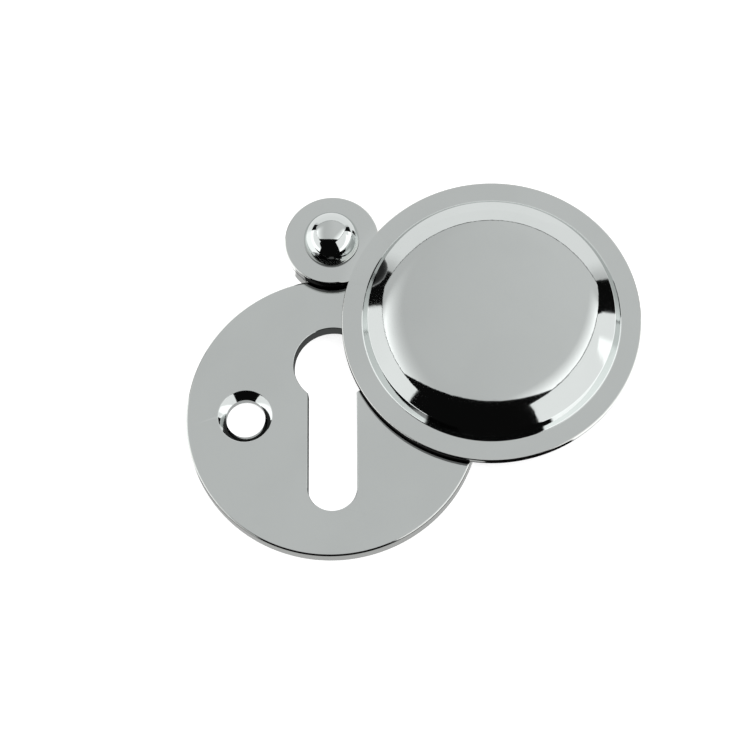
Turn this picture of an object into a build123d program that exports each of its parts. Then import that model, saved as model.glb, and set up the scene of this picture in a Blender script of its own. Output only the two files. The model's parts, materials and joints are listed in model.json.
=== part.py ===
from build123d import *
import math
import os

# A keyhole escutcheon with a swinging cover, lying on its flat back in millimetres and degrees.
# The origin is the centre of the plate's disc in its back face. +Z points out of the front,
# +Y from the keyhole towards the rivet that the cover swings on, and +X to the right.

# Cover disc and the plate behind it
cover_radius = 16.0
cover_overhang = 0.4
rim_thickness = 0.8
rim_edge_round = 0.15
plate_thickness = 1.7
plate_edge_round = 0.25

# Lugs that carry the rivet
lug_radius = 5.0
lug_bite = 1.5
lug_thickness = 1.15
lug_edge_round = 0.5
step_run = 0.6
cover_swing = 61.0

# Dished face of the cover, in radius from the rim inwards: wall, band, shoulder and dome
rim_width = 2.2
wall_run = 0.62
wall_rise = 1.15
wall_top_round = 0.25
wall_foot_round = 0.25
band_run = 1.25
band_slope = 34.0
shoulder_radius = 7.6
dome_radius = 57.0
cover_shell = 0.8

# Keyhole
key_circle_radius = 4.15
key_circle_rise = 5.7
key_slot_width = 5.2
key_slot_depth = 8.1
key_edge_break = 0.12

# Screw holes
screw_spacing = 18.6
screw_hole_radius = 2.1
countersink_radius = 2.95

# Rivet and washer
shank_radius = 1.5
head_radius = 2.9
head_skirt = 1.25
head_edge_slope = 65.0
tail_flare = 0.6
washer_thickness = 0.45
washer_inset = 0.9
turning_clearance = 0.05
fixed_clearance = 0.02
head_play = 0.04

# Places worked out from the sizes above
plate_radius = cover_radius - cover_overhang
pivot_rise = cover_radius + lug_radius - lug_bite
cover_base = plate_thickness + washer_thickness
head_base = cover_base + lug_thickness + head_play
wall_foot_radius = cover_radius - rim_width
wall_top_radius = wall_foot_radius - wall_run
hollow_radius = wall_top_radius - cover_shell


def polar(centre, radius, slope):
    """Point of an arc where the surface falls away by this slope in degrees."""
    angle = math.radians(slope)
    return (centre[0] + radius * math.sin(angle), centre[1] + radius * math.cos(angle))


def soften(profile, point, radius):
    """Rounds the corner of a flat profile that lies nearest to this point."""
    return fillet(profile.vertices().sort_by_distance((point[0], point[1], 0))[0], radius)


def round_disc(radius, thickness, edge_round):
    """Flat disc on the XY plane with its upper edge rounded."""
    disc = Cylinder(radius, thickness, align=(Align.CENTER, Align.CENTER, Align.MIN))
    return fillet(disc.edges().sort_by(Axis.Z)[-1], edge_round)


def dish_centres():
    """Centres of the shoulder's and the dome's arcs, and the slope where the two meet."""
    band_rise = band_run * math.tan(math.radians(band_slope))
    band_top = (wall_top_radius - band_run, rim_thickness + wall_rise + band_rise)
    shoulder_centre = polar(band_top, -shoulder_radius, band_slope)
    crown_slope = math.degrees(
        math.asin(shoulder_centre[0] / (dome_radius - shoulder_radius))
    )
    dome_centre = polar(shoulder_centre, shoulder_radius - dome_radius, crown_slope)
    return shoulder_centre, dome_centre, crown_slope


def dish_arcs(inset):
    """Dome and shoulder as one run from the axis outwards, this far below the outer face."""
    shoulder_centre, dome_centre, crown_slope = dish_centres()
    apex = polar(dome_centre, dome_radius - inset, 0)
    dome_middle = polar(dome_centre, dome_radius - inset, crown_slope / 2)
    crown = polar(dome_centre, dome_radius - inset, crown_slope)
    middle_slope = (crown_slope + band_slope) / 2
    shoulder_middle = polar(shoulder_centre, shoulder_radius - inset, middle_slope)
    band_top = polar(shoulder_centre, shoulder_radius - inset, band_slope)
    dome = ThreePointArc(apex, dome_middle, crown)
    shoulder = ThreePointArc(crown, shoulder_middle, band_top)
    return apex, band_top, [dome, shoulder]


def cover_disc():
    """Disc about the Z axis: flat rim, steep wall, band, shoulder and dome, hollow from behind."""
    outer_apex, outer_band_top, outer_arcs = dish_arcs(0)
    inner_apex, inner_band_top, inner_arcs = dish_arcs(cover_shell)
    wall_top = (wall_top_radius, rim_thickness + wall_rise)
    wall_foot = (wall_foot_radius, rim_thickness)
    rim_corner = (cover_radius, rim_thickness)
    fall = (hollow_radius - inner_band_top[0]) * math.tan(math.radians(band_slope))
    hollow_corner = (hollow_radius, inner_band_top[1] - fall)
    outline = [
        *outer_arcs,
        Line(outer_band_top, wall_top),
        Line(wall_top, wall_foot),
        Line(wall_foot, rim_corner),
        Line(rim_corner, (cover_radius, 0)),
        Line((cover_radius, 0), (hollow_radius, 0)),
        Line((hollow_radius, 0), hollow_corner),
        Line(hollow_corner, inner_band_top),
        *inner_arcs,
        Line(inner_apex, outer_apex),
    ]
    profile = make_face(outline)
    profile = soften(profile, rim_corner, rim_edge_round)
    profile = soften(profile, wall_top, wall_top_round)
    profile = soften(profile, wall_foot, wall_foot_round)
    return revolve(Plane.XZ * profile, Axis.Z)


def cover_lug():
    """Thicker lug of the cover at the pivot, coved down to the rim around the disc's axis."""
    lug = Pos(0, pivot_rise, 0) * round_disc(lug_radius, lug_thickness, lug_edge_round)
    step = lug_thickness - rim_thickness
    foot = (cover_radius, rim_thickness)
    head = (cover_radius + step_run, lug_thickness)
    sag = (cover_radius + step_run * 0.6, rim_thickness + step * 0.35)
    above = lug_thickness + 1
    with BuildPart() as relief:
        with BuildSketch(Plane.XZ):
            with BuildLine():
                Line((0, rim_thickness), foot)
                ThreePointArc(foot, sag, head)
                Line(head, (head[0], above))
                Line((head[0], above), (0, above))
                Line((0, above), (0, rim_thickness))
            make_face()
        revolve(axis=Axis.Z)
    return lug - relief.part


def swing_cover():
    """Cover in its own frame, then swung open about the rivet."""
    hollow = Cylinder(
        hollow_radius, rim_thickness, align=(Align.CENTER, Align.CENTER, Align.MIN)
    )
    hole = Pos(0, pivot_rise, 0) * Cylinder(
        shank_radius + turning_clearance, 4 * lug_thickness
    )
    cover = cover_disc() + (cover_lug() - hollow) - hole
    return (
        Pos(0, pivot_rise, cover_base)
        * Rot(0, 0, cover_swing)
        * Pos(0, -pivot_rise, 0)
        * cover
    )


def keyhole_outline():
    """Circle for the key's shank with the slot for its bit below."""
    slot = Pos(0, (key_circle_rise - key_slot_depth) / 2) * Rectangle(
        key_slot_width, key_circle_rise + key_slot_depth
    )
    slot_end = Pos(0, -key_slot_depth) * Circle(key_slot_width / 2)
    return Pos(0, key_circle_rise) * Circle(key_circle_radius) + slot + slot_end


def back_plate():
    """Flat plate: disc and lug in one, with the keyhole, two screw holes and the rivet's hole."""
    plate = round_disc(plate_radius, plate_thickness, plate_edge_round)
    plate += Pos(0, pivot_rise, 0) * round_disc(
        lug_radius, plate_thickness, plate_edge_round
    )

    outline = keyhole_outline()
    plate -= Pos(0, 0, -plate_thickness) * extrude(outline, 3 * plate_thickness)
    flare = Pos(0, 0, plate_thickness - key_edge_break) * outline
    plate -= extrude(flare, key_edge_break, taper=-45)

    countersink_depth = countersink_radius - screw_hole_radius
    for side in (-1, 1):
        place = Pos(side * screw_spacing / 2, 0, 0)
        plate -= place * Cylinder(screw_hole_radius, 3 * plate_thickness)
        cone = Cone(
            screw_hole_radius,
            countersink_radius,
            countersink_depth,
            align=(Align.CENTER, Align.CENTER, Align.MAX),
        )
        plate -= place * Pos(0, 0, plate_thickness) * cone

    hole_radius = shank_radius + fixed_clearance
    plate -= Pos(0, pivot_rise, 0) * Cylinder(hole_radius, 3 * plate_thickness)
    plate -= Pos(0, pivot_rise, 0) * tail_cone(hole_radius)
    return plate


def tail_cone(radius):
    """Cone at the back of the plate, wider by the flare in the back face."""
    return Cone(
        radius + tail_flare,
        radius,
        tail_flare,
        align=(Align.CENTER, Align.CENTER, Align.MIN),
    )


def rivet_head():
    """Round head about the Z axis: a ball's crown over a short upright skirt."""
    crown_radius = head_radius / polar((0, 0), 1, head_edge_slope)[0]
    skirt_top = (head_radius, head_base + head_skirt)
    crown = polar(skirt_top, -crown_radius, head_edge_slope)
    apex = polar(crown, crown_radius, 0)
    crown_middle = polar(crown, crown_radius, head_edge_slope / 2)
    outline = [
        ThreePointArc(apex, crown_middle, skirt_top),
        Line(skirt_top, (head_radius, head_base)),
        Line((head_radius, head_base), (0, head_base)),
        Line((0, head_base), apex),
    ]
    return revolve(Plane.XZ * make_face(outline), Axis.Z)


def pivot_rivet():
    """Rivet with a round head, and a tail set flush into the back of the plate."""
    shank = Cylinder(
        shank_radius, head_base, align=(Align.CENTER, Align.CENTER, Align.MIN)
    )
    return Pos(0, pivot_rise, 0) * (rivet_head() + shank + tail_cone(shank_radius))


def spacer_washer():
    """Thin washer on the rivet that keeps the cover off the plate's face."""
    ring = Circle(lug_radius - washer_inset) - Circle(shank_radius + turning_clearance)
    return Pos(0, pivot_rise, plate_thickness) * extrude(ring, washer_thickness)


os.makedirs("parts", exist_ok=True)
export_step(back_plate(), "parts/back_plate.step")
export_step(swing_cover(), "parts/swing_cover.step")
export_step(pivot_rivet(), "parts/pivot_rivet.step")
export_step(spacer_washer(), "parts/spacer_washer.step")
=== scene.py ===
import json
import math

import bmesh
import bpy
from bpy.props import FloatProperty, FloatVectorProperty, IntProperty, PointerProperty
from mathutils import Matrix, Vector


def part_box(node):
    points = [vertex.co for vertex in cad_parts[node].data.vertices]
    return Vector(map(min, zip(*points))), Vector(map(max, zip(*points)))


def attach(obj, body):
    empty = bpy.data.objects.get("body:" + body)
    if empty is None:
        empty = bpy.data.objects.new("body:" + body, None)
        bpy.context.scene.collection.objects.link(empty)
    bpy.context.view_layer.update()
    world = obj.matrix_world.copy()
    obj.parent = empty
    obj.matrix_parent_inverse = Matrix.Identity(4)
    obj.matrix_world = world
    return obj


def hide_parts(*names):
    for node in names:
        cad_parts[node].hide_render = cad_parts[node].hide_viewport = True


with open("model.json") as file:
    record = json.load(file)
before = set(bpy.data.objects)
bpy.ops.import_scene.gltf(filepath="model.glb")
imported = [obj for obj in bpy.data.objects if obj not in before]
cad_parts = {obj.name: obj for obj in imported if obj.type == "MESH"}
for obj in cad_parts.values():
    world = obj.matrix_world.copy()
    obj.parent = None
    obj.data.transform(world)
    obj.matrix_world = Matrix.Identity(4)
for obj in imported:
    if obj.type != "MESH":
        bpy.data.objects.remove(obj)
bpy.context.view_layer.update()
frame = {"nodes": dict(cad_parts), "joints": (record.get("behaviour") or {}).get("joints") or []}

bl_info = {
    "name": "Keyhole Escutcheon",
    "version": (1, 0, 0),
    "blender": (4, 5, 0),
    "location": "View3D > Sidebar > Escutcheon",
    "description": "Models a chromed keyhole escutcheon with a swinging cover, and its studio",
    "category": "Add Mesh",
}

PLATE_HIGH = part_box("back_plate")[1]
WASHER_LOW, WASHER_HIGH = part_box("spacer_washer")
PIVOT = Vector(frame["joints"][0]["pos_m"])
Y_AXIS, Z_AXIS = Vector((0, 1, 0)), Vector((0, 0, 1))
WELD = 1e-7
DOT = 1e-4
FULL_TURN = 360.0
SHARP_DEGREES = 40.0
NUMBER, VECTOR = "NodeSocketFloat", "NodeSocketVector"
SENSOR_WIDTH, CLIP_START = 36.0, 0.005

# Steps of arcs and sides of round outlines
SLOT_END_STEPS, KEY_CIRCLE_STEPS, KEY_BREAK_STEPS = 48, 96, 3
DOME_STEPS, SHOULDER_STEPS, HOLLOW_STEPS = 48, 40, 24
CREASE_STEPS, CORNER_STEPS, LUG_EDGE_STEPS, HEAD_STEPS = 6, 8, 10, 72
HOLE_SIDES, COUNTERSINK_SIDES, ROUND_SIDES = 96, 128, 192

# Levels of the panels that the studio's properties give
PANEL_INPUTS = ("Overhead", "Glow", "Softbox", "Low Softbox", "Back Panel", "Dark", "Frame Gap")

# Ceiling panel, on a plane one unit above the object: slope and start of each edge, and its glow
FRONT_EDGE, LEFT_EDGE, RIGHT_EDGE = (0.06, 0.40), (0.57, 1.44), (0.875, 1.02)
FAR_EDGE = 1.98
PANEL_SOFTNESS, LEAST_HEIGHT = 0.015, 0.001
SIDE_NARROWING = 2.0
LEFT_GLOW_START, LEFT_GLOW_POWER = -0.48, 1.4
RIGHT_GLOW_WIDTH, RIGHT_GLOW_POWER = 0.62, 1.15
GLOW_FADE = (0.5, 1.2, 1.0, 0.0)
CEILING_LEVELS = (-0.45, 0.45, 0.99, 1.12)

# Standing panels: azimuth of the middle, half the width and softness in degrees
BACK_SECTOR, BACK_FULL_SECTOR = (86.3, 48.6, 0.6), (86.3, 44.0, 5.0)
BACK_EDGE_LEVEL = 0.65
RIGHT_SECTOR, RIGHT_LOW_SECTOR = (-18.2, 40.0, 0.6), (-25.0, 33.0, 2.0)
RIGHT_LOW_TOP, RIGHT_LOW_RISE = (0.41, 0.44, 1.0, 0.0), -0.0027
LEFT_MIDDLE, LEFT_HALF, LEFT_SOFTNESS = 181.2, 28.9, 1.0
LEFT_WIDENING = (0.29, 0.57, 8.5, 0.0)
LOW_TOP = (0.20, 0.27, 1.0, 0.0)

# Floor as the metal sees it: a painted black card in front and painted softbox sheen
PAINTED_CARD_SECTOR = (-106.0, 49.0, 1.0)
PAINTED_SHEEN_SECTORS = ((183.0, 31.0, 4.0), (-18.0, 40.0, 4.0))
FLOOR_SOFTNESS = 0.0005

# Marks in the finish: limits of masks, scales of patches and shades of the colours
CLOUD_LIMITS, CLOUD_SHADES = (0.34, 0.66), (1.012, 0.985)
SCRATCH_TURNS, SCRATCH_LIMITS = (17.0, -38.0, 74.0), (0.66, 0.74)
SCRATCH_PATCH_SCALE, SCRATCH_PATCH_LIMITS = 260.0, (0.42, 0.62)
SCRATCH_SHARE, SCRATCH_SHADE, WEAR_SHARE = 0.08, 0.7, 0.5
RIPPLE_HEIGHT, RING_HEIGHT, SCRATCH_HEIGHT = 1.0, 0.35, -0.08
WEAR_PATCH_SCALE, WEAR_LIMITS = 700.0, (0.5, 1.2, 1.0, 0.0)
BEHIND_LIMITS, UPRIGHT_LIMITS = (-0.6, -0.3, 1.0, 0.0), (0.3, 0.5, 1.0, 0.0)
STEEL_ROUGHNESS, STEEL_SHADES, RING_SHARE = 0.24, (0.75, 0.6), 0.4
STEEL_RING_ROUGHNESS, STEEL_CLOUD_ROUGHNESS, STEEL_WEAR_ROUGHNESS = 0.16, 0.1, -0.1
STEEL_CLOUDS, STEEL_RELIEF, STEEL_BARE = 3, 4, 0.8


def length(name, description, millimetres):
    """A length property in metres, given in millimetres."""
    return FloatProperty(
        name=name, description=description, default=millimetres / 1000, unit="LENGTH", precision=5
    )


def angle(name, description, degrees):
    """An angle property, given in degrees."""
    return FloatProperty(
        name=name, description=description, default=math.radians(degrees), subtype="ANGLE"
    )


def share(name, description, value, top=1.0):
    """A plain number from nought to its top value."""
    return FloatProperty(name=name, description=description, default=value, min=0.0, max=top)


def colour(name, description, rgb):
    """A colour property in linear light."""
    return FloatVectorProperty(
        name=name, description=description, default=rgb, subtype="COLOR", min=0.0, max=1.0
    )


class EscutcheonPlate(bpy.types.PropertyGroup):
    """Sizes of the flat plate behind the cover."""

    disc_radius: length("Disc radius", "Radius of the plate's disc", 1000 * PLATE_HIGH.x)
    thickness: length("Thickness", "Thickness of the plate", 1000 * PLATE_HIGH.z)
    edge_round: length("Edge round", "Radius of the rounded front edge", 0.25)
    lug_radius: length("Lug radius", "Radius of the lug that carries the rivet", 5.0)
    key_circle_radius: length("Key circle radius", "Radius of the keyhole's circle", 4.15)
    key_circle_rise: length("Key circle rise", "Height of the circle's centre above the disc's", 5.7)
    key_slot_width: length("Key slot width", "Width of the keyhole's slot", 5.2)
    key_slot_depth: length("Key slot depth", "Depth of the slot end's centre below the disc's", 8.1)
    key_edge_break: length("Key edge break", "Size of the broken edge round the keyhole", 0.12)
    screw_spacing: length("Screw spacing", "Distance between the two screw holes", 18.6)
    screw_hole_radius: length("Screw hole radius", "Radius of each screw hole", 2.1)
    countersink_radius: length("Countersink radius", "Radius of each countersink in the front", 2.95)
    countersink_break: length("Countersink break", "Size of the broken edge round a countersink", 0.1)
    segments: IntProperty(
        name="Segments", description="Sides of the disc's outline", default=288, min=48
    )


class EscutcheonCover(bpy.types.PropertyGroup):
    """Sizes of the dished cover and of the lug that it swings on."""

    radius: length("Radius", "Radius of the cover's disc", 16.0)
    rim_thickness: length("Rim thickness", "Thickness of the flat rim", 0.8)
    rim_edge_round: length("Rim edge round", "Radius of the rim's rounded front edge", 0.15)
    rim_width: length("Rim width", "Width of the flat rim", 2.2)
    wall_run: length("Wall run", "Width of the steep wall inside the rim", 0.62)
    wall_rise: length("Wall rise", "Height of the steep wall inside the rim", 1.15)
    wall_top_round: length("Wall top round", "Radius between the wall and the band", 0.25)
    wall_foot_round: length("Wall foot round", "Radius between the rim and the wall", 0.25)
    band_run: length("Band run", "Width of the straight band", 1.25)
    band_slope: angle("Band slope", "Slope of the straight band", 34.0)
    shoulder_radius: length("Shoulder radius", "Radius of the shoulder inside the band", 7.6)
    dome_radius: length("Dome radius", "Radius of the shallow dome", 57.0)
    shell: length("Shell", "Thickness of the dished face", 0.8)
    lug_radius: length("Lug radius", "Radius of the lug at the pivot", 5.1)
    lug_thickness: length("Lug thickness", "Thickness of the lug at the pivot", 1.15)
    lug_edge_round: length("Lug edge round", "Radius of the lug's rounded front edge", 0.18)
    step_run: length("Step run", "Width of the slope between the lug and the rim", 0.9)
    hole_radius: length("Hole radius", "Radius of the hole that turns on the rivet", 1.55)
    swing: angle("Swing", "Angle that the cover is swung open by", 61.0)
    segments: IntProperty(
        name="Segments", description="Sides of the disc's outline", default=360, min=48
    )


class EscutcheonRivet(bpy.types.PropertyGroup):
    """Sizes of the round-headed rivet."""

    head_radius: length("Head radius", "Radius of the half ball", 3.0)
    head_play: length("Head play", "Gap between the cover's lug and the head", 0.04)
    shank_radius: length("Shank radius", "Radius of the shank", 1.5)
    tail_flare: length("Tail flare", "Width and depth of the cone at the tail", 0.6)


class EscutcheonFinish(bpy.types.PropertyGroup):
    """Colours and wear of the metal, and the colour of the painted shade along the cover's low edge.
    """

    chrome_colour: colour("Chrome colour", "Colour of the polished chrome", (0.655, 0.685, 0.675))
    back_colour: colour("Back colour", "Colour of the unpolished backs", (0.36, 0.38, 0.38))
    bare_colour: colour("Bare colour", "Colour where the plating is worn thin", (0.74, 0.74, 0.71))
    # Painted shade: near black painted along the cover's low edge, for the shadow of the gap under it
    painted_shade_colour: colour("Painted shade colour", "Colour of the dirt at low edges", (0.03, 0.03, 0.03))
    steel_colour: colour("Steel colour", "Colour of the washer's steel", (0.42, 0.43, 0.43))
    polish: share("Polish", "Roughness of the polished chrome", 0.03)
    haze: share("Haze", "Roughness that the clouds in the polish add", 0.035)
    hairlines: share("Hairlines", "Roughness that the fine scratches add", 0.05)
    wear: share("Wear", "Roughness that wear along the edges adds", 0.08)
    back_roughness: share("Back roughness", "Roughness that the unpolished backs add", 0.32)
    relief: length("Relief", "Height of the finest marks in the polish", 0.0008)
    wear_width: length("Wear width", "Width of the wear along an edge", 0.3)
    # Painted shade: height of the near-black band painted along the cover's low edge
    painted_shade_top: length("Low edge", "Height of the grimy lower edge of the cover", 0.24)
    cloud_scale: FloatProperty(
        name="Cloud scale", description="Clouds in the polish in a metre", default=110.0
    )
    grain_scale: FloatProperty(
        name="Grain scale", description="Ripples of the plating in a metre", default=1300.0
    )
    turning_pitch: length("Turning pitch", "Spacing of the marks of the lathe", 0.11)


class EscutcheonStudio(bpy.types.PropertyGroup):
    """Camera, light and floor of the studio."""

    camera_tilt: angle("Camera tilt", "Tilt of the view from straight above", 20.77)
    camera_azimuth: angle("Camera azimuth", "Turn of the view to the right", 5.8)
    camera_roll: angle("Camera roll", "Roll of the camera about its view", -0.38)
    camera_distance: length("Camera distance", "Distance from the camera to the plate's centre", 250.0)
    camera_lens: FloatProperty(
        name="Lens", description="Focal length", default=113.04, unit="CAMERA"
    )
    centre_across: length("Centre across", "Plate's centre to the right of the view's", -4.2358)
    centre_up: length("Centre up", "Plate's centre above the view's", -4.9818)
    overhead: share("Overhead", "Level of the panel overhead", 0.65, 4.0)
    glow: share("Glow", "Level that the panel overhead gains at its sides", 0.9, 4.0)
    softbox: share("Softbox", "Level of the softboxes at the sides", 1.1, 4.0)
    low_softbox: share("Low softbox", "Level of the softboxes near the floor", 1.6, 4.0)
    back_panel: share("Back panel", "Level of the pale panel at the back", 0.98, 4.0)
    dark: share("Dark", "Level of the black cards", 0.004, 1.0)
    frame_gap: share("Frame gap", "Width of the dark gap round the panel overhead", 0.09, 1.0)
    # Painted black card: a sector of the floor that only the metal sees, painted near black
    painted_card_across: length("Card across", "Point that the black card spreads from, across", 17.0)
    painted_card_away: length("Card away", "Point that the black card spreads from, away", 10.0)
    floor_white: share("Floor white", "Whiteness of the floor's paint", 0.8)
    # Painted sheen: level of the softboxes' sheen painted on the floor for the metal to mirror
    painted_floor_sheen: share("Floor lit", "Level that the metal sees on the floor by the softboxes", 1.4, 4.0)
    floor_glow: share("Floor glow", "Level that the camera sees on the floor in full shade", 0.78)
    # Painted shade on the floor beside the plate and in its keyhole, seen only by the metal
    painted_shade_beside: share("Floor beside", "Level that the metal sees close beside the plate", 0.5)
    painted_shade_in_keyhole: share("Floor beneath", "Level that the metal sees in the keyhole", 0.08)
    floor_size: FloatProperty(
        name="Floor size", description="Width of the floor", default=6.0, unit="LENGTH"
    )


def clear_selection():
    """Deselects every object, outside edit mode."""
    if bpy.context.mode != "OBJECT":
        bpy.ops.object.mode_set(mode="OBJECT")
    bpy.ops.object.select_all(action="DESELECT")


def make_active(piece):
    """Selects this object alone."""
    clear_selection()
    piece.select_set(True)
    bpy.context.view_layer.objects.active = piece


def open_mesh(piece):
    """Enters edit mode on this object with nothing selected."""
    make_active(piece)
    bpy.ops.object.mode_set(mode="EDIT")
    bpy.ops.mesh.select_all(action="DESELECT")


def close_mesh():
    """Returns to object mode."""
    bpy.ops.object.mode_set(mode="OBJECT")


def select_edges(piece, wanted):
    """Selects the edges of the open mesh whose both ends pass the test."""
    bpy.ops.mesh.select_mode(type="EDGE")
    mesh = bmesh.from_edit_mesh(piece.data)
    for edge in mesh.edges:
        edge.select = all(wanted(corner.co) for corner in edge.verts)
    mesh.select_flush_mode()
    bmesh.update_edit_mesh(piece.data)


def settle(piece):
    """Applies the object's own placement to its mesh, so that it stays at the origin."""
    make_active(piece)
    bpy.ops.object.transform_apply(location=True, rotation=True, scale=True)


def start_outline(name, point):
    """Starts a drawing with one vertex at this point, in edit mode."""
    clear_selection()
    bpy.ops.mesh.primitive_plane_add(size=DOT, location=point)
    piece = bpy.context.object
    piece.name = name
    settle(piece)
    bpy.ops.object.mode_set(mode="EDIT")
    bpy.ops.mesh.select_mode(type="VERT")
    bpy.ops.mesh.merge(type="CENTER")
    return piece


def pen_position(piece):
    """Place of the selected vertex of the drawing."""
    mesh = bmesh.from_edit_mesh(piece.data)
    return [corner.co.copy() for corner in mesh.verts if corner.select][-1]


def line_to(piece, point):
    """Extrudes the drawing's end straight to this point."""
    step = Vector(point) - pen_position(piece)
    bpy.ops.mesh.extrude_vertices_move(TRANSFORM_OT_translate={"value": step})


def arc_about(piece, centre, degrees, axis, steps):
    """Spins the drawing's end about a centre, right-handed about the axis."""
    bpy.ops.mesh.spin(
        steps=steps, angle=math.radians(-degrees), center=centre, axis=axis
    )


def turn_on_lathe(piece, segments):
    """Spins the whole drawing about the Z axis into a closed body."""
    bpy.ops.mesh.select_all(action="SELECT")
    bpy.ops.mesh.spin(
        steps=segments, angle=math.radians(FULL_TURN), center=(0, 0, 0), axis=Z_AXIS
    )
    bpy.ops.mesh.select_all(action="SELECT")
    bpy.ops.mesh.remove_doubles(threshold=WELD)
    bpy.ops.mesh.normals_make_consistent(inside=False)
    close_mesh()
    return piece


def raise_outline(piece, height):
    """Fills the closed drawing and extrudes it upwards into a solid."""
    bpy.ops.mesh.select_all(action="SELECT")
    bpy.ops.mesh.remove_doubles(threshold=WELD)
    bpy.ops.mesh.edge_face_add()
    bpy.ops.mesh.extrude_region_move(TRANSFORM_OT_translate={"value": (0, 0, height)})
    bpy.ops.mesh.select_all(action="SELECT")
    bpy.ops.mesh.normals_make_consistent(inside=False)
    close_mesh()
    return piece


def add_disc(name, centre, radius, low, high, segments):
    """Round blank from one height to another."""
    clear_selection()
    bpy.ops.mesh.primitive_cylinder_add(
        vertices=segments,
        radius=radius,
        depth=high - low,
        location=(centre[0], centre[1], (low + high) / 2),
    )
    piece = bpy.context.object
    piece.name = name
    settle(piece)
    return piece


def bevel_edges(size, segments):
    """Rounds the selected edges of the open mesh."""
    bpy.ops.mesh.bevel(offset=size, segments=segments, affect="EDGES", profile=0.5)


def round_top_edge(piece, height, radius, segments):
    """Rounds the edges that lie at this height."""
    open_mesh(piece)
    select_edges(piece, lambda place: abs(place.z - height) < WELD)
    bevel_edges(radius, segments)
    close_mesh()


def combine(piece, tool, operation):
    """Joins the tool to the piece or cuts it away, and removes the tool."""
    make_active(piece)
    boolean = piece.modifiers.new(operation.lower(), "BOOLEAN")
    boolean.operation = operation
    boolean.solver = "EXACT"
    boolean.object = tool
    bpy.ops.object.modifier_apply(modifier=boolean.name)
    blank = tool.data
    bpy.data.objects.remove(tool)
    bpy.data.meshes.remove(blank)
    if not piece.data.polygons:
        raise RuntimeError(f"{piece.name} was lost in a {operation.lower()}")


def polish_shading(piece):
    """Smooth shading that keeps flat faces flat and sharp edges sharp."""
    make_active(piece)
    bpy.ops.object.shade_smooth_by_angle(angle=math.radians(SHARP_DEGREES))
    weighting = piece.modifiers.new("face_weight", "WEIGHTED_NORMAL")
    weighting.keep_sharp = True
    weighting.weight = 50
    bpy.ops.object.modifier_apply(modifier=weighting.name)


def tidy_mesh(piece):
    """Welds what a cut left doubled and clears edges without length."""
    open_mesh(piece)
    bpy.ops.mesh.select_all(action="SELECT")
    bpy.ops.mesh.remove_doubles(threshold=WELD)
    bpy.ops.mesh.dissolve_degenerate(threshold=WELD)
    close_mesh()


def finish_piece(piece, name, body, node, material):
    """Names the piece, gives it its finish and lets it stand for its CAD node."""
    piece.name = name
    piece.data.name = name
    piece.data.materials.clear()
    piece.data.materials.append(material)
    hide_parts(node)
    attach(piece, body)


def new_node(tree, kind, **settings):
    """Adds a node and sets its own properties."""
    node = tree.nodes.new(kind)
    for key, value in settings.items():
        setattr(node, key, value)
    return node


def feed(tree, socket, source):
    """Links an output to a socket, or sets the socket's own value."""
    if isinstance(source, bpy.types.NodeSocket):
        tree.links.new(source, socket)
    else:
        socket.default_value = source


def calculate(tree, operation, first, second=0.0, third=0.0):
    """Math node on numbers or outputs."""
    node = new_node(tree, "ShaderNodeMath", operation=operation)
    for socket, source in zip(node.inputs, (first, second, third)):
        feed(tree, socket, source)
    return node.outputs[0]


def ramp_between(tree, value, low, high, start=0.0, end=1.0):
    """Smooth step from one value to another between two limits."""
    node = new_node(tree, "ShaderNodeMapRange", interpolation_type="SMOOTHSTEP")
    for name, source in (
        ("Value", value),
        ("From Min", low),
        ("From Max", high),
        ("To Min", start),
        ("To Max", end),
    ):
        feed(tree, node.inputs[name], source)
    return node.outputs["Result"]


def vector_math(tree, operation, first, second=(0, 0, 0)):
    """Outputs of a vector math node."""
    node = new_node(tree, "ShaderNodeVectorMath", operation=operation)
    feed(tree, node.inputs[0], first)
    feed(tree, node.inputs[1], second)
    return node.outputs


def axes_of(tree, vector):
    """X, Y and Z of a vector."""
    node = new_node(tree, "ShaderNodeSeparateXYZ")
    feed(tree, node.inputs[0], vector)
    return node.outputs


def distance_from(tree, spot, centre):
    """Distance of a place from an upright axis."""
    offset = vector_math(tree, "SUBTRACT", spot, centre)["Vector"]
    flat = vector_math(tree, "MULTIPLY", offset, (1, 1, 0))["Vector"]
    return vector_math(tree, "LENGTH", flat)["Value"]


def clamp_value(tree, value):
    """Keeps a number between nought and one."""
    node = new_node(tree, "ShaderNodeClamp")
    feed(tree, node.inputs["Value"], value)
    return node.outputs[0]


def noise_at(tree, spot, scale, detail):
    """Noise from nought to one at a place."""
    node = new_node(tree, "ShaderNodeTexNoise")
    feed(tree, node.inputs["Vector"], spot)
    feed(tree, node.inputs["Scale"], scale)
    feed(tree, node.inputs["Detail"], detail)
    return node.outputs[0]


def blend_values(tree, mask, first, second):
    """Mix of two numbers by a mask."""
    node = new_node(tree, "ShaderNodeMix", data_type="FLOAT")
    feed(tree, node.inputs["Factor"], mask)
    feed(tree, node.inputs["A"], first)
    feed(tree, node.inputs["B"], second)
    return node.outputs["Result"]


def blend_colours(tree, mask, first, second):
    """Mix of two colours by a mask."""
    node = new_node(tree, "ShaderNodeMix", data_type="RGBA")
    feed(tree, node.inputs["Factor"], mask)
    for label, source in (("A", first), ("B", second)):
        colours = [socket for socket in node.inputs if socket.name == label and socket.enabled]
        feed(tree, colours[0], source)
    return [socket for socket in node.outputs if socket.enabled][0]


def start_group(name, inputs, outputs):
    """Node group with named inputs and outputs."""
    group = bpy.data.node_groups.new(name, "ShaderNodeTree")
    for label, kind, default in inputs:
        socket = group.interface.new_socket(label, in_out="INPUT", socket_type=kind)
        if default is not None:
            socket.default_value = default
    for label, kind in outputs:
        group.interface.new_socket(label, in_out="OUTPUT", socket_type=kind)
    entry = group.nodes.new("NodeGroupInput")
    leave = group.nodes.new("NodeGroupOutput")
    return group, entry.outputs, leave.inputs


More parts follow.
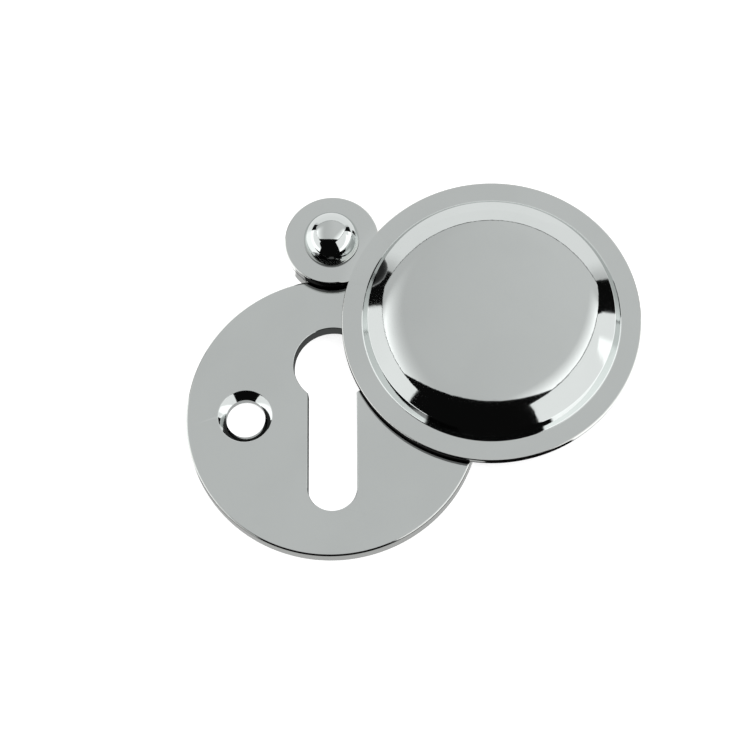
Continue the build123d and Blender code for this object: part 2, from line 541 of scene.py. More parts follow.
def panel_edge(tree, along, rise, slope, start):
    """How far a point of the ceiling is inside a straight edge of the panel overhead."""
    return calculate(tree, "MULTIPLY_ADD", rise, slope, calculate(tree, "ADD", along, start))


def sector_mask(tree, azimuth, middle, half_width, softness):
    """Mask of a panel that stands on the floor, by the azimuth of its middle in degrees."""
    aside = calculate(tree, "SUBTRACT", azimuth, middle)
    aside = calculate(tree, "WRAP", aside, FULL_TURN / 2, -FULL_TURN / 2)
    outside = calculate(tree, "SUBTRACT", calculate(tree, "ABSOLUTE", aside), half_width)
    return ramp_between(tree, outside, -softness, softness, 1.0, 0.0)


def sky_panels_group():
    """Light of the studio by the direction of a ray: a ceiling panel over three standing ones."""
    levels = [(label, NUMBER, 0.0) for label in PANEL_INPUTS]
    group, given, wanted = start_group(
        "sky_panels", [("Direction", VECTOR, None), *levels], [("Level", NUMBER)]
    )
    parts = axes_of(group, given["Direction"])
    azimuth = calculate(group, "ARCTAN2", parts["Y"], parts["X"])
    azimuth = calculate(group, "DEGREES", azimuth)
    height = calculate(group, "MAXIMUM", parts["Z"], LEAST_HEIGHT)
    across = calculate(group, "DIVIDE", parts["X"], height)
    away = calculate(group, "DIVIDE", parts["Y"], height)

    # How far a point is inside each edge of the ceiling panel
    front = panel_edge(group, away, across, *FRONT_EDGE)
    far = calculate(group, "SUBTRACT", FAR_EDGE, away)
    left = panel_edge(group, across, away, *LEFT_EDGE)
    back_across = calculate(group, "MULTIPLY", across, -1.0)
    right = panel_edge(group, back_across, away, *RIGHT_EDGE)
    sides = calculate(group, "MINIMUM", left, right)
    sides = calculate(group, "MULTIPLY", sides, SIDE_NARROWING)
    inside = calculate(group, "MINIMUM", sides, far)
    ceiling = calculate(group, "MINIMUM", inside, front)
    ceiling = ramp_between(group, ceiling, 0.0, PANEL_SOFTNESS)

    # Level of the ceiling panel, which glows towards its sides
    left_glow = calculate(group, "SUBTRACT", LEFT_GLOW_START, across)
    left_glow = calculate(group, "POWER", clamp_value(group, left_glow), LEFT_GLOW_POWER)
    right_glow = calculate(group, "DIVIDE", right, RIGHT_GLOW_WIDTH)
    right_glow = clamp_value(group, calculate(group, "SUBTRACT", 1.0, right_glow))
    right_glow = calculate(group, "POWER", right_glow, RIGHT_GLOW_POWER)
    glow = calculate(group, "MAXIMUM", left_glow, right_glow)
    glow = calculate(group, "MULTIPLY", glow, ramp_between(group, away, *GLOW_FADE))
    ceiling_level = ramp_between(group, across, *CEILING_LEVELS)
    ceiling_level = calculate(group, "MULTIPLY", ceiling_level, given["Overhead"])
    ceiling_level = calculate(group, "MULTIPLY_ADD", glow, given["Glow"], ceiling_level)

    # Softboxes at the left and right, brighter near the floor
    rising = calculate(group, "MULTIPLY_ADD", azimuth, RIGHT_LOW_RISE, parts["Z"])
    low_right = ramp_between(group, rising, *RIGHT_LOW_TOP)
    in_low_right = sector_mask(group, azimuth, *RIGHT_LOW_SECTOR)
    low_right = calculate(group, "MULTIPLY", low_right, in_low_right)
    low = ramp_between(group, parts["Z"], *LOW_TOP)
    low = calculate(group, "MAXIMUM", low, low_right)
    softbox = blend_values(group, low, given["Softbox"], given["Low Softbox"])
    widening = ramp_between(group, parts["Z"], *LEFT_WIDENING)
    left_middle = calculate(group, "ADD", widening, LEFT_MIDDLE)
    left_half = calculate(group, "ADD", widening, LEFT_HALF)
    wings = calculate(
        group,
        "MAXIMUM",
        sector_mask(group, azimuth, left_middle, left_half, LEFT_SOFTNESS),
        sector_mask(group, azimuth, *RIGHT_SECTOR),
    )

    # Pale panel at the back, darker at its edges
    back = sector_mask(group, azimuth, *BACK_SECTOR)
    back_level = calculate(
        group,
        "MULTIPLY_ADD",
        sector_mask(group, azimuth, *BACK_FULL_SECTOR),
        1.0 - BACK_EDGE_LEVEL,
        BACK_EDGE_LEVEL,
    )
    back_level = calculate(group, "MULTIPLY", back_level, given["Back Panel"])

    level = blend_values(group, back, given["Dark"], back_level)
    level = blend_values(group, wings, level, softbox)
    in_gap = calculate(group, "ADD", inside, given["Frame Gap"])
    in_gap = ramp_between(group, in_gap, 0.0, PANEL_SOFTNESS)
    level = blend_values(group, in_gap, level, given["Dark"])
    level = blend_values(group, ceiling, level, ceiling_level)
    feed(group, wanted["Level"], level)
    return group


def light_studio(studio):
    """World of panels and black cards, white where the camera sees it."""
    world = bpy.data.worlds.new("studio")
    bpy.context.scene.world = world
    world.use_nodes = True
    tree = world.node_tree
    tree.nodes.clear()
    panels = new_node(tree, "ShaderNodeGroup", node_tree=sky_panels_group())
    ray = new_node(tree, "ShaderNodeTexCoord").outputs["Generated"]
    feed(tree, panels.inputs["Direction"], ray)
    for label in PANEL_INPUTS:
        feed(tree, panels.inputs[label], getattr(studio, label.lower().replace(" ", "_")))
    seen = new_node(tree, "ShaderNodeLightPath").outputs["Is Camera Ray"]
    level = blend_values(tree, seen, panels.outputs["Level"], 1.0)
    background = new_node(tree, "ShaderNodeBackground")
    feed(tree, background.inputs["Color"], (1, 1, 1, 1))
    feed(tree, background.inputs["Strength"], level)
    output = new_node(tree, "ShaderNodeOutputWorld")
    feed(tree, output.inputs["Surface"], background.outputs[0])


def floor_material(studio):
    """White floor with the object's shadow, and with painted levels for the metal to mirror: a black
    card, a sheen and shade.
    """
    material = bpy.data.materials.new("studio_floor")
    material.use_nodes = True
    tree = material.node_tree
    tree.nodes.clear()
    spot = new_node(tree, "ShaderNodeTexCoord").outputs["Object"]
    place = axes_of(tree, spot)
    across = calculate(tree, "SUBTRACT", place["X"], studio.painted_card_across)
    away = calculate(tree, "SUBTRACT", place["Y"], studio.painted_card_away)
    azimuth = calculate(tree, "DEGREES", calculate(tree, "ARCTAN2", away, across))
    # Painted black card, seen only in the metal's reflections
    card = sector_mask(tree, azimuth, *PAINTED_CARD_SECTOR)
    # Painted sheen of the softboxes on two stretches of the floor, seen only by the metal
    lit = 0.0
    for sector in PAINTED_SHEEN_SECTORS:
        lit = calculate(tree, "MAXIMUM", sector_mask(tree, azimuth, *sector), lit)

    # Painted shade that the metal sees: dim beside the plate, and dark in its keyhole
    edge, soft = PLATE_HIGH.x, FLOOR_SOFTNESS
    inner, outer, half_keyhole = edge - 4 * soft, edge + 3 * soft, edge / 3
    from_plate = distance_from(tree, spot, (0, 0, 0))
    beside = ramp_between(tree, from_plate, outer, outer + soft, 1.0, 0.0)
    within = ramp_between(tree, from_plate, inner, inner + soft, 1.0, 0.0)
    painted_keyhole_shade = calculate(tree, "ABSOLUTE", place["X"])
    painted_keyhole_shade = ramp_between(tree, painted_keyhole_shade, half_keyhole, half_keyhole + soft, 1.0, 0.0)
    painted_keyhole_shade = calculate(tree, "MULTIPLY", painted_keyhole_shade, within)
    mirrored = blend_values(tree, lit, 1.0, studio.painted_floor_sheen)
    mirrored = blend_values(tree, card, mirrored, studio.dark)
    mirrored = blend_values(tree, beside, mirrored, studio.painted_shade_beside)
    mirrored = blend_values(tree, painted_keyhole_shade, mirrored, studio.painted_shade_in_keyhole)

    paths = new_node(tree, "ShaderNodeLightPath").outputs
    clear = calculate(tree, "SUBTRACT", 1.0, paths["Is Glossy Ray"])
    strength = calculate(tree, "MULTIPLY", paths["Is Camera Ray"], studio.floor_glow)
    strength = calculate(tree, "MULTIPLY_ADD", paths["Is Glossy Ray"], mirrored, strength)
    strength = calculate(tree, "ADD", strength, paths["Is Transmission Ray"])
    white = calculate(tree, "MULTIPLY", clear, studio.floor_white)
    paint = new_node(tree, "ShaderNodeBsdfDiffuse")
    feed(tree, paint.inputs["Color"], white)
    glow = new_node(tree, "ShaderNodeEmission")
    feed(tree, glow.inputs["Strength"], strength)
    both = new_node(tree, "ShaderNodeAddShader")
    feed(tree, both.inputs[0], paint.outputs[0])
    feed(tree, both.inputs[1], glow.outputs[0])
    output = new_node(tree, "ShaderNodeOutputMaterial")
    feed(tree, output.inputs["Surface"], both.outputs[0])
    return material


def polish_clouds_group():
    """Soft clouds that the polishing wheel leaves."""
    group, given, wanted = start_group(
        "polish_clouds",
        [("Coordinates", VECTOR, None), ("Scale", NUMBER, 110.0)],
        [("Clouds", NUMBER)],
    )
    noise = noise_at(group, given["Coordinates"], given["Scale"], 3.0)
    feed(group, wanted["Clouds"], ramp_between(group, noise, *CLOUD_LIMITS))
    return group


def wiping_hairlines_group():
    """Sparse fine scratches of wiping, in three directions."""
    group, given, wanted = start_group(
        "wiping_hairlines",
        [
            ("Coordinates", VECTOR, None),
            ("Length", NUMBER, 0.008),
            ("Width", NUMBER, 0.00005),
        ],
        [("Scratches", NUMBER)],
    )
    along = calculate(group, "DIVIDE", 1.0, given["Length"])
    across = calculate(group, "DIVIDE", 1.0, given["Width"])
    stretch = new_node(group, "ShaderNodeCombineXYZ")
    for axis, source in (("X", along), ("Y", across), ("Z", along)):
        feed(group, stretch.inputs[axis], source)
    scratches = 0.0
    for turn in SCRATCH_TURNS:
        lay = new_node(group, "ShaderNodeMapping")
        feed(group, lay.inputs["Vector"], given["Coordinates"])
        feed(group, lay.inputs["Rotation"], (0, 0, math.radians(turn)))
        drawn = vector_math(group, "MULTIPLY", lay.outputs[0], stretch.outputs[0])["Vector"]
        line = ramp_between(group, noise_at(group, drawn, 1.0, 1.0), *SCRATCH_LIMITS)
        scratches = calculate(group, "MAXIMUM", line, scratches)
    patches = noise_at(group, given["Coordinates"], SCRATCH_PATCH_SCALE, 2.0)
    patches = ramp_between(group, patches, *SCRATCH_PATCH_LIMITS)
    feed(group, wanted["Scratches"], calculate(group, "MULTIPLY", scratches, patches))
    return group


def turning_marks_group():
    """Uneven rings of the lathe about an upright axis."""
    group, given, wanted = start_group(
        "turning_marks",
        [("Coordinates", VECTOR, None), ("Centre", VECTOR, None), ("Pitch", NUMBER, 0.0001)],
        [("Rings", NUMBER)],
    )
    reach = distance_from(group, given["Coordinates"], given["Centre"])
    rings = new_node(group, "ShaderNodeTexNoise", noise_dimensions="1D")
    feed(group, rings.inputs["W"], calculate(group, "DIVIDE", reach, given["Pitch"]))
    feed(group, rings.inputs["Scale"], 1.0)
    feed(group, rings.inputs["Detail"], 2.0)
    feed(group, wanted["Rings"], rings.outputs[0])
    return group


def edge_wear_group():
    """Broken line of wear along an edge, by how far a place is inside the outline."""
    group, given, wanted = start_group(
        "edge_wear",
        [("Coordinates", VECTOR, None), ("Inset", NUMBER, 0.0), ("Width", NUMBER, 0.0003)],
        [("Wear", NUMBER)],
    )
    patches = noise_at(group, given["Coordinates"], WEAR_PATCH_SCALE, 3.0)
    width = calculate(group, "MULTIPLY", patches, given["Width"])
    share_of_width = calculate(group, "DIVIDE", given["Inset"], width)
    feed(group, wanted["Wear"], ramp_between(group, share_of_width, *WEAR_LIMITS))
    return group


EFFECTS = {
    "polish_clouds": polish_clouds_group,
    "wiping_hairlines": wiping_hairlines_group,
    "turning_marks": turning_marks_group,
    "edge_wear": edge_wear_group,
}


def effect(tree, name, **values):
    """Places a shared effect in a material and gives its output."""
    shared = bpy.data.node_groups.get(name) or EFFECTS[name]()
    node = new_node(tree, "ShaderNodeGroup", node_tree=shared)
    for label, source in values.items():
        feed(tree, node.inputs[label.capitalize()], source)
    return node.outputs[0]


def worn_edges(tree, spot, discs, width):
    """Wear along the outline of round discs joined in one, each given by centre and radius."""
    inset = -1.0
    for centre, radius in discs:
        inside = calculate(tree, "SUBTRACT", radius, distance_from(tree, spot, centre))
        inset = calculate(tree, "MAXIMUM", inside, inset)
    return effect(tree, "edge_wear", coordinates=spot, inset=inset, width=width)


def add_parts(tree, start, *parts):
    """Sum of a number and of masks, each times its weight."""
    total = start
    for mask, weight in parts:
        total = calculate(tree, "MULTIPLY_ADD", mask, weight, total)
    return total


def raise_marks(tree, shader, height, relief):
    """Feeds a height to the shader's normal."""
    bump = new_node(tree, "ShaderNodeBump")
    feed(tree, bump.inputs["Strength"], 1.0)
    feed(tree, bump.inputs["Distance"], relief)
    feed(tree, bump.inputs["Height"], height)
    feed(tree, shader.inputs["Normal"], bump.outputs["Normal"])


def opaque(tint, shade=1.0):
    """Colour times a shade, with an alpha of one."""
    return (*(part * shade for part in tint), 1.0)


def start_metal(name):
    """Metal material, with its tree and its shader."""
    material = bpy.data.materials.new(name)
    material.use_nodes = True
    tree = material.node_tree
    shader = tree.nodes["Principled BSDF"]
    feed(tree, shader.inputs["Metallic"], 1.0)
    return material, tree, shader


def lathe_rings(tree, spot, centre, finish):
    """Marks of the lathe about the piece's own axis."""
    pitch = finish.turning_pitch
    return effect(tree, "turning_marks", coordinates=spot, centre=centre, pitch=pitch)


def chrome_material(name, finish, edges, centre, painted_dark_below, painted_shade_top=0.0):
    """Polished chrome: clouds, hairlines, lathe marks and worn edges, dull behind, with painted shade
    low down and in reflections.
    """
    material, tree, shader = start_metal(name)
    texture = new_node(tree, "ShaderNodeTexCoord").outputs
    spot = texture["Object"]
    clouds = effect(tree, "polish_clouds", coordinates=spot, scale=finish.cloud_scale)
    ripples = effect(tree, "polish_clouds", coordinates=spot, scale=finish.grain_scale)
    scratches = effect(tree, "wiping_hairlines", coordinates=spot)
    rings = lathe_rings(tree, spot, centre, finish)
    worn = worn_edges(tree, spot, edges, finish.wear_width)
    facing = axes_of(tree, texture["Normal"])["Z"]
    behind = ramp_between(tree, facing, *BEHIND_LIMITS)
    upright = ramp_between(tree, calculate(tree, "ABSOLUTE", facing), *UPRIGHT_LIMITS)

    # Painted shade at the low edge and in what the other pieces mirror of this one
    height = axes_of(tree, spot)["Z"]
    painted_shade = ramp_between(tree, height, painted_shade_top, painted_shade_top + DOT / 2, 1.0, 0.0)
    painted_shade = calculate(tree, "MULTIPLY", painted_shade, upright)
    # Painted shade in reflections: below this height glossy rays see the piece near black
    painted_shade_in_reflections = ramp_between(tree, height, painted_dark_below - DOT, painted_dark_below, 1.0, 0.0)
    mirrored = new_node(tree, "ShaderNodeLightPath").outputs["Is Glossy Ray"]
    painted_shade_in_reflections = calculate(tree, "MULTIPLY", painted_shade_in_reflections, mirrored)
    painted_shade = calculate(tree, "MAXIMUM", painted_shade, painted_shade_in_reflections)

    chrome = finish.chrome_colour
    scratched = calculate(tree, "MULTIPLY", scratches, SCRATCH_SHARE)
    rubbed = calculate(tree, "MULTIPLY", worn, WEAR_SHARE)
    tint = blend_colours(tree, clouds, *(opaque(chrome, shade) for shade in CLOUD_SHADES))
    tint = blend_colours(tree, scratched, tint, opaque(chrome, SCRATCH_SHADE))
    tint = blend_colours(tree, rubbed, tint, opaque(finish.bare_colour))
    tint = blend_colours(tree, behind, tint, opaque(finish.back_colour))
    tint = blend_colours(tree, painted_shade, tint, opaque(finish.painted_shade_colour))
    feed(tree, shader.inputs["Base Color"], tint)
    roughness = add_parts(
        tree,
        finish.polish,
        (clouds, finish.haze),
        (scratches, finish.hairlines),
        (worn, finish.wear),
        (behind, finish.back_roughness),
    )
    feed(tree, shader.inputs["Roughness"], roughness)
    marks = add_parts(
        tree, 0.0, (ripples, RIPPLE_HEIGHT), (rings, RING_HEIGHT), (scratches, SCRATCH_HEIGHT)
    )
    raise_marks(tree, shader, marks, finish.relief)
    return material


def steel_material(name, finish, edges, centre):
    """Plain turned steel: rings of the lathe, dull clouds and rubbed edges."""
    material, tree, shader = start_metal(name)
    spot = new_node(tree, "ShaderNodeTexCoord").outputs["Object"]
    scale = STEEL_CLOUDS * finish.cloud_scale
    clouds = effect(tree, "polish_clouds", coordinates=spot, scale=scale)
    rings = lathe_rings(tree, spot, centre, finish)
    worn = worn_edges(tree, spot, edges, finish.wear_width)
    steel = finish.steel_colour
    cloud_shade, ring_shade = STEEL_SHADES
    ringed = calculate(tree, "MULTIPLY", rings, RING_SHARE)
    tint = blend_colours(tree, clouds, opaque(steel), opaque(steel, cloud_shade))
    tint = blend_colours(tree, ringed, tint, opaque(steel, ring_shade))
    tint = blend_colours(tree, worn, tint, opaque(finish.bare_colour, STEEL_BARE))
    feed(tree, shader.inputs["Base Color"], tint)
    roughness = add_parts(
        tree,
        STEEL_ROUGHNESS,
        (rings, STEEL_RING_ROUGHNESS),
        (clouds, STEEL_CLOUD_ROUGHNESS),
        (worn, STEEL_WEAR_ROUGHNESS),
    )
    feed(tree, shader.inputs["Roughness"], roughness)
    raise_marks(tree, shader, rings, STEEL_RELIEF * finish.relief)
    return material


class ESCUTCHEON_OT_studio(bpy.types.Operator):
    """Set the camera, the light and the floor"""

    bl_idname = "escutcheon.studio"
    bl_label = "Studio"

    def execute(self, context):
        studio = context.scene.escutcheon_studio
        light_studio(studio)
        clear_selection()
        bpy.ops.mesh.primitive_plane_add(size=studio.floor_size, location=(0, 0, 0))
        floor = context.object
        floor.name = "studio_floor"
        floor.data.materials.append(floor_material(studio))

        tilt, turn = studio.camera_tilt, studio.camera_azimuth
        back = Vector(
            (math.sin(tilt) * math.sin(turn), -math.sin(tilt) * math.cos(turn), math.cos(tilt))
        )
        level = Y_AXIS.cross(back).normalized()
        upright = back.cross(level)
        right = level * math.cos(studio.camera_roll) + upright * math.sin(studio.camera_roll)
        up = back.cross(right)
        place = (
            back * studio.camera_distance
            - right * studio.centre_across
            - up * studio.centre_up
        )
        bpy.ops.object.camera_add(location=place)
        camera = context.object
        camera.name = "camera"
        turned = Matrix((right, up, back)).transposed()
        camera.matrix_world = Matrix.Translation(place) @ turned.to_4x4()
        camera.data.lens = studio.camera_lens
        camera.data.sensor_width = SENSOR_WIDTH
        camera.data.clip_start = CLIP_START
        context.scene.camera = camera
        context.scene.view_settings.view_transform = "Standard"
        return {"FINISHED"}


def keyhole_cutter(plate, low, high):
    """Solid in the shape of the keyhole: a circle with a round-ended slot below."""
    half = plate.key_slot_width / 2
    reach = math.sqrt(plate.key_circle_radius**2 - half**2)
    join = plate.key_circle_rise - reach
    swept = math.degrees(math.atan2(half, reach))
    cutter = start_outline("keyhole_cutter", (-half, -plate.key_slot_depth, low))
    arc_about(cutter, (0, -plate.key_slot_depth, low), FULL_TURN / 2, Z_AXIS, SLOT_END_STEPS)
    line_to(cutter, (half, join, low))
    round_circle = FULL_TURN - 2 * swept
    arc_about(cutter, (0, plate.key_circle_rise, low), round_circle, Z_AXIS, KEY_CIRCLE_STEPS)
    line_to(cutter, (-half, -plate.key_slot_depth, low))
    return raise_outline(cutter, high - low)


def countersink_cutter(plate, across, clear):
    """Solid for one screw hole: a bore with a cone that opens at the front."""
    bore, mouth, top = plate.screw_hole_radius, plate.countersink_radius, plate.thickness
    broken = plate.countersink_break
    cutter = start_outline("countersink_cutter", (0, 0, -clear))
    line_to(cutter, (bore, 0, -clear))
    line_to(cutter, (bore, 0, top - (mouth - bore)))
    line_to(cutter, (mouth - broken, 0, top - broken))
    line_to(cutter, (mouth + broken / 2, 0, top))
    line_to(cutter, (mouth + broken / 2, 0, top + clear))
    line_to(cutter, (0, 0, top + clear))
    turn_on_lathe(cutter, COUNTERSINK_SIDES)
    cutter.location.x = across
    settle(cutter)
    return cutter


def rivet_seat_cutter(rivet, clear):
    """Solid for the rivet's hole in the plate, coned at the back."""
    bore, flare = rivet.shank_radius, rivet.tail_flare
    cutter = start_outline("rivet_seat_cutter", (0, 0, -clear))
    line_to(cutter, (bore + flare + clear, 0, -clear))
    line_to(cutter, (bore, 0, flare))
    line_to(cutter, (bore, 0, PLATE_HIGH.z + clear))
    line_to(cutter, (0, 0, PLATE_HIGH.z + clear))
    turn_on_lathe(cutter, HOLE_SIDES)
    cutter.location.y = PIVOT.y
    settle(cutter)
    return cutter


class ESCUTCHEON_OT_back_plate(bpy.types.Operator):
    """Model the flat plate with its lug, keyhole and screw holes"""

    bl_idname = "escutcheon.back_plate"
    bl_label = "Back plate"

    def execute(self, context):
        plate = context.scene.escutcheon_plate
        rivet = context.scene.escutcheon_rivet
        clear = plate.thickness / 2
        top = plate.thickness
        piece = add_disc("plate_disc", (0, 0), plate.disc_radius, 0, top, plate.segments)
        round_top_edge(piece, top, plate.edge_round, CREASE_STEPS)
        lug_sides = plate.segments // 2
        lug = add_disc("plate_lug", (0, PIVOT.y), plate.lug_radius, 0, top, lug_sides)
        round_top_edge(lug, top, plate.edge_round, CREASE_STEPS)
        combine(piece, lug, "UNION")
        combine(piece, keyhole_cutter(plate, -clear, top + clear), "DIFFERENCE")
        for side in (-1, 1):
            across = side * plate.screw_spacing / 2
            combine(piece, countersink_cutter(plate, across, clear), "DIFFERENCE")
        combine(piece, rivet_seat_cutter(rivet, clear), "DIFFERENCE")
        tidy_mesh(piece)

        beside = plate.key_circle_radius + plate.key_edge_break
        above = beside + plate.key_circle_rise

        def on_keyhole(place):
            """Front edge of the keyhole, but for the very end of the slot."""
            near = abs(place.x) < beside and abs(place.y) < above
            return near and abs(place.z - top) < WELD

        open_mesh(piece)
        select_edges(piece, on_keyhole)
        bevel_edges(plate.key_edge_break, KEY_BREAK_STEPS)
        close_mesh()
        polish_shading(piece)
        finish = context.scene.escutcheon_finish
        edges = [((0, 0, 0), plate.disc_radius), (PIVOT, plate.lug_radius)]
        # Painted shade: the whole plate shows near black where the other pieces mirror it
        chrome = chrome_material("plate_chrome", finish, edges, (0, 0, 0), 2 * top)
        finish_piece(piece, "back_plate_polished", "plate", "back_plate", chrome)
        return {"FINISHED"}


def slope_point(centre, radius, slope):
    """Point of an arc in the XZ plane where the surface falls away by this slope."""
    return Vector(
        (centre[0] + radius * math.sin(slope), 0, centre[2] + radius * math.cos(slope))
    )


def dish_centres(cover):
    """End of the band, centres of the shoulder's and the dome's arcs, and the slope between them."""
    foot = cover.radius - cover.rim_width
    wall_top = foot - cover.wall_run
    rise = cover.rim_thickness + cover.wall_rise + cover.band_run * math.tan(cover.band_slope)
    band_end = Vector((wall_top - cover.band_run, 0, rise))
    shoulder = slope_point(band_end, -cover.shoulder_radius, cover.band_slope)
    crown = math.asin(shoulder.x / (cover.dome_radius - cover.shoulder_radius))
    dome = slope_point(shoulder, cover.shoulder_radius - cover.dome_radius, crown)
    return band_end, shoulder, dome, crown


def draw_dish(piece, cover, from_axis):
    """Draws the dome and the shoulder, from the axis outwards or back to it."""
    _, shoulder, dome, crown = dish_centres(cover)
    dome_sweep = math.degrees(crown)
    shoulder_sweep = math.degrees(cover.band_slope - crown)
    if from_axis:
        arc_about(piece, dome, dome_sweep, Y_AXIS, DOME_STEPS)
        arc_about(piece, shoulder, shoulder_sweep, Y_AXIS, SHOULDER_STEPS)
    else:
        arc_about(piece, shoulder, -shoulder_sweep, Y_AXIS, HOLLOW_STEPS)
        arc_about(piece, dome, -dome_sweep, Y_AXIS, HOLLOW_STEPS)


def corner_arc(piece, corner, before, after, radius, steps):
    """Draws up to a corner of the outline, round it by the radius, and stops where it ends."""
    corner = Vector(corner)
    arriving = (corner - Vector(before)).normalized()
    leaving = (Vector(after) - corner).normalized()
    turn = arriving.angle(leaving)
    reach = radius * math.tan(turn / 2)
    middle = (leaving - arriving).normalized()
    centre = corner + middle * (radius / math.cos(turn / 2))
    way = arriving.cross(leaving).dot(Y_AXIS)
    line_to(piece, corner - arriving * reach)
    arc_about(piece, centre, math.copysign(math.degrees(turn), way), Y_AXIS, steps)


def cover_disc(cover):
    """Dished disc about the Z axis, hollow from behind."""
    band_end, shoulder, dome, _ = dish_centres(cover)
    foot = cover.radius - cover.rim_width
    wall_top = foot - cover.wall_run
    hollow = wall_top - cover.shell
    top = cover.rim_thickness
    wall_head = (wall_top, 0, top + cover.wall_rise)
    wall_foot = (foot, 0, top)
    rim_corner = (cover.radius, 0, top)
    rim_base = (cover.radius, 0, 0)
    piece = start_outline("cover_disc", slope_point(dome, cover.dome_radius, 0))
    draw_dish(piece, cover, True)
    corner_arc(piece, wall_head, band_end, wall_foot, cover.wall_top_round, CREASE_STEPS)
    corner_arc(piece, wall_foot, wall_head, rim_corner, cover.wall_foot_round, CORNER_STEPS)
    corner_arc(piece, rim_corner, wall_foot, rim_base, cover.rim_edge_round, CORNER_STEPS)
    line_to(piece, rim_base)
    line_to(piece, (hollow, 0, 0))
    inner_end = slope_point(shoulder, cover.shoulder_radius - cover.shell, cover.band_slope)
    fall = (hollow - inner_end.x) * math.tan(cover.band_slope)
    line_to(piece, (hollow, 0, inner_end.z - fall))
    line_to(piece, inner_end)
    draw_dish(piece, cover, False)
    return turn_on_lathe(piece, cover.segments)


def cover_lug(cover):
    """Lug at the pivot, sloped down to the rim around the disc's axis."""
    top = cover.lug_thickness
    lug = add_disc("cover_lug", (0, PIVOT.y), cover.lug_radius, 0, top, ROUND_SIDES)
    round_top_edge(lug, top, cover.lug_edge_round, LUG_EDGE_STEPS)
    foot = cover.radius
    head = foot + cover.step_run
    clear = top
    relief = start_outline("step_cutter", (0, 0, cover.rim_thickness))
    line_to(relief, (foot, 0, cover.rim_thickness))
    line_to(relief, (head, 0, top))
    line_to(relief, (head, 0, top + clear))
    line_to(relief, (0, 0, top + clear))
    turn_on_lathe(relief, cover.segments)
    combine(lug, relief, "DIFFERENCE")
    return lug


class ESCUTCHEON_OT_cover(bpy.types.Operator):
    """Model the dished cover with its lug, swung open on the rivet"""

    bl_idname = "escutcheon.cover"
    bl_label = "Swinging cover"

    def execute(self, context):
        cover = context.scene.escutcheon_cover
        piece = cover_disc(cover)
        combine(piece, cover_lug(cover), "UNION")
        clear = cover.lug_thickness
        bore = cover.hole_radius
        hole = add_disc("rivet_hole", (0, PIVOT.y), bore, -clear, 2 * clear, HOLE_SIDES)
        combine(piece, hole, "DIFFERENCE")
        tidy_mesh(piece)
        seat = Matrix.Translation((0, PIVOT.y, WASHER_HIGH.z))
        turn = Matrix.Rotation(cover.swing, 4, "Z")
        piece.matrix_world = seat @ turn @ Matrix.Translation((0, -PIVOT.y, 0))
        settle(piece)
        polish_shading(piece)
        finish = context.scene.escutcheon_finish
        centre = seat @ turn @ Vector((0, -PIVOT.y, 0))
        edges = [(centre, cover.radius), (PIVOT, cover.lug_radius)]
        # Painted shade: the cover below its rim's top shows near black where it is mirrored
        rim_top = WASHER_HIGH.z + cover.rim_thickness
        # Painted shade: the cover's low edge is painted near black up to this height
        painted_shade_top = WASHER_HIGH.z + finish.painted_shade_top
        chrome = chrome_material(
            "cover_chrome", finish, edges, centre, rim_top - DOT, painted_shade_top
        )
        finish_piece(piece, "swing_cover_polished", "cover", "swing_cover", chrome)
        return {"FINISHED"}


class ESCUTCHEON_OT_rivet(bpy.types.Operator):
    """Model the rivet with its half-ball head"""

    bl_idname = "escutcheon.rivet"
    bl_label = "Rivet"

    def execute(self, context):
        rivet = context.scene.escutcheon_rivet
        cover = context.scene.escutcheon_cover
        seat = WASHER_HIGH.z + cover.lug_thickness + rivet.head_play
        piece = start_outline("rivet", (0, 0, seat + rivet.head_radius))
        arc_about(piece, (0, 0, seat), FULL_TURN / 4, Y_AXIS, HEAD_STEPS)
        line_to(piece, (rivet.shank_radius, 0, seat))
        line_to(piece, (rivet.shank_radius, 0, rivet.tail_flare))
        line_to(piece, (rivet.shank_radius + rivet.tail_flare, 0, 0))
        line_to(piece, (0, 0, 0))
        turn_on_lathe(piece, ROUND_SIDES)
        piece.location.y = PIVOT.y
        settle(piece)
        polish_shading(piece)
        finish = context.scene.escutcheon_finish
        edges = [(PIVOT, rivet.head_radius)]
        top = seat + 2 * rivet.head_radius
        # Painted shade: the whole rivet shows near black where the other pieces mirror it
        chrome = chrome_material("rivet_chrome", finish, edges, PIVOT, top)
        finish_piece(piece, "pivot_rivet_polished", "plate", "pivot_rivet", chrome)
        return {"FINISHED"}


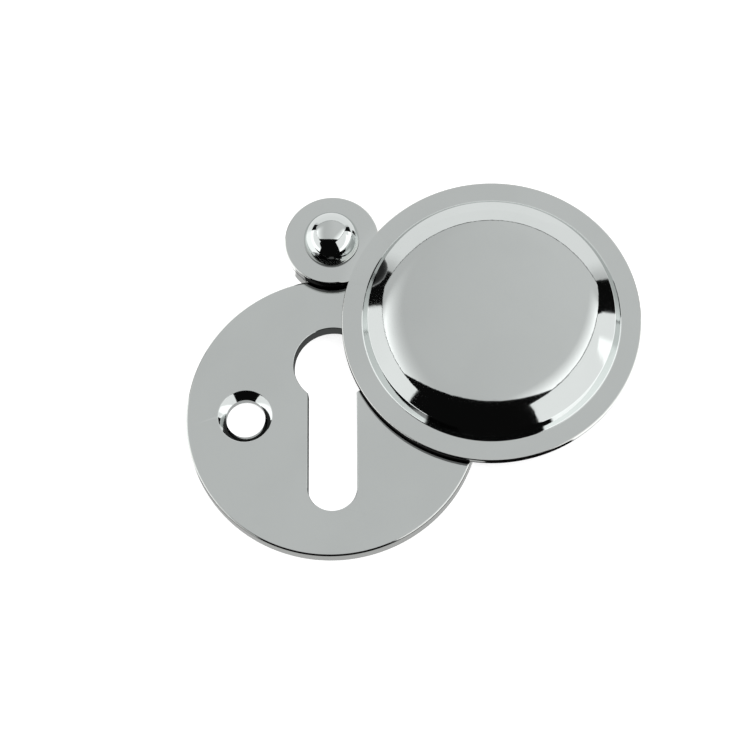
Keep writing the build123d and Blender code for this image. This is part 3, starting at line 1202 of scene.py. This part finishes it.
class ESCUTCHEON_OT_washer(bpy.types.Operator):
    """Give the spacer washer its turned steel"""

    bl_idname = "escutcheon.washer"
    bl_label = "Spacer washer"

    def execute(self, context):
        finish = context.scene.escutcheon_finish
        edges = [(PIVOT, (WASHER_HIGH.x - WASHER_LOW.x) / 2)]
        washer = frame["nodes"]["spacer_washer"]
        washer.data.materials.clear()
        washer.data.materials.append(steel_material("washer_steel", finish, edges, PIVOT))
        return {"FINISHED"}


PROPERTY_GROUPS = {
    "escutcheon_plate": EscutcheonPlate,
    "escutcheon_cover": EscutcheonCover,
    "escutcheon_rivet": EscutcheonRivet,
    "escutcheon_finish": EscutcheonFinish,
    "escutcheon_studio": EscutcheonStudio,
}
OPERATORS = (
    ESCUTCHEON_OT_studio,
    ESCUTCHEON_OT_back_plate,
    ESCUTCHEON_OT_cover,
    ESCUTCHEON_OT_rivet,
    ESCUTCHEON_OT_washer,
)


class ESCUTCHEON_PT_sidebar(bpy.types.Panel):
    """Lists the pieces of the escutcheon"""

    bl_idname = "ESCUTCHEON_PT_sidebar"
    bl_label = "Escutcheon"
    bl_space_type = "VIEW_3D"
    bl_region_type = "UI"
    bl_category = "Escutcheon"

    def draw(self, context):
        for operator in OPERATORS:
            self.layout.operator(operator.bl_idname)


def register():
    """Registers the sizes, the operators and the panel."""
    for name, group in PROPERTY_GROUPS.items():
        bpy.utils.register_class(group)
        setattr(bpy.types.Scene, name, PointerProperty(type=group))
    for entry in (*OPERATORS, ESCUTCHEON_PT_sidebar):
        bpy.utils.register_class(entry)


def unregister():
    """Removes what register added."""
    for entry in (ESCUTCHEON_PT_sidebar, *reversed(OPERATORS)):
        bpy.utils.unregister_class(entry)
    for name, group in PROPERTY_GROUPS.items():
        delattr(bpy.types.Scene, name)
        bpy.utils.unregister_class(group)


def main():
    """Builds the studio and every piece."""
    register()
    bpy.ops.escutcheon.studio()
    bpy.ops.escutcheon.back_plate()
    bpy.ops.escutcheon.cover()
    bpy.ops.escutcheon.rivet()
    bpy.ops.escutcheon.washer()


if __name__ == "__main__":
    main()
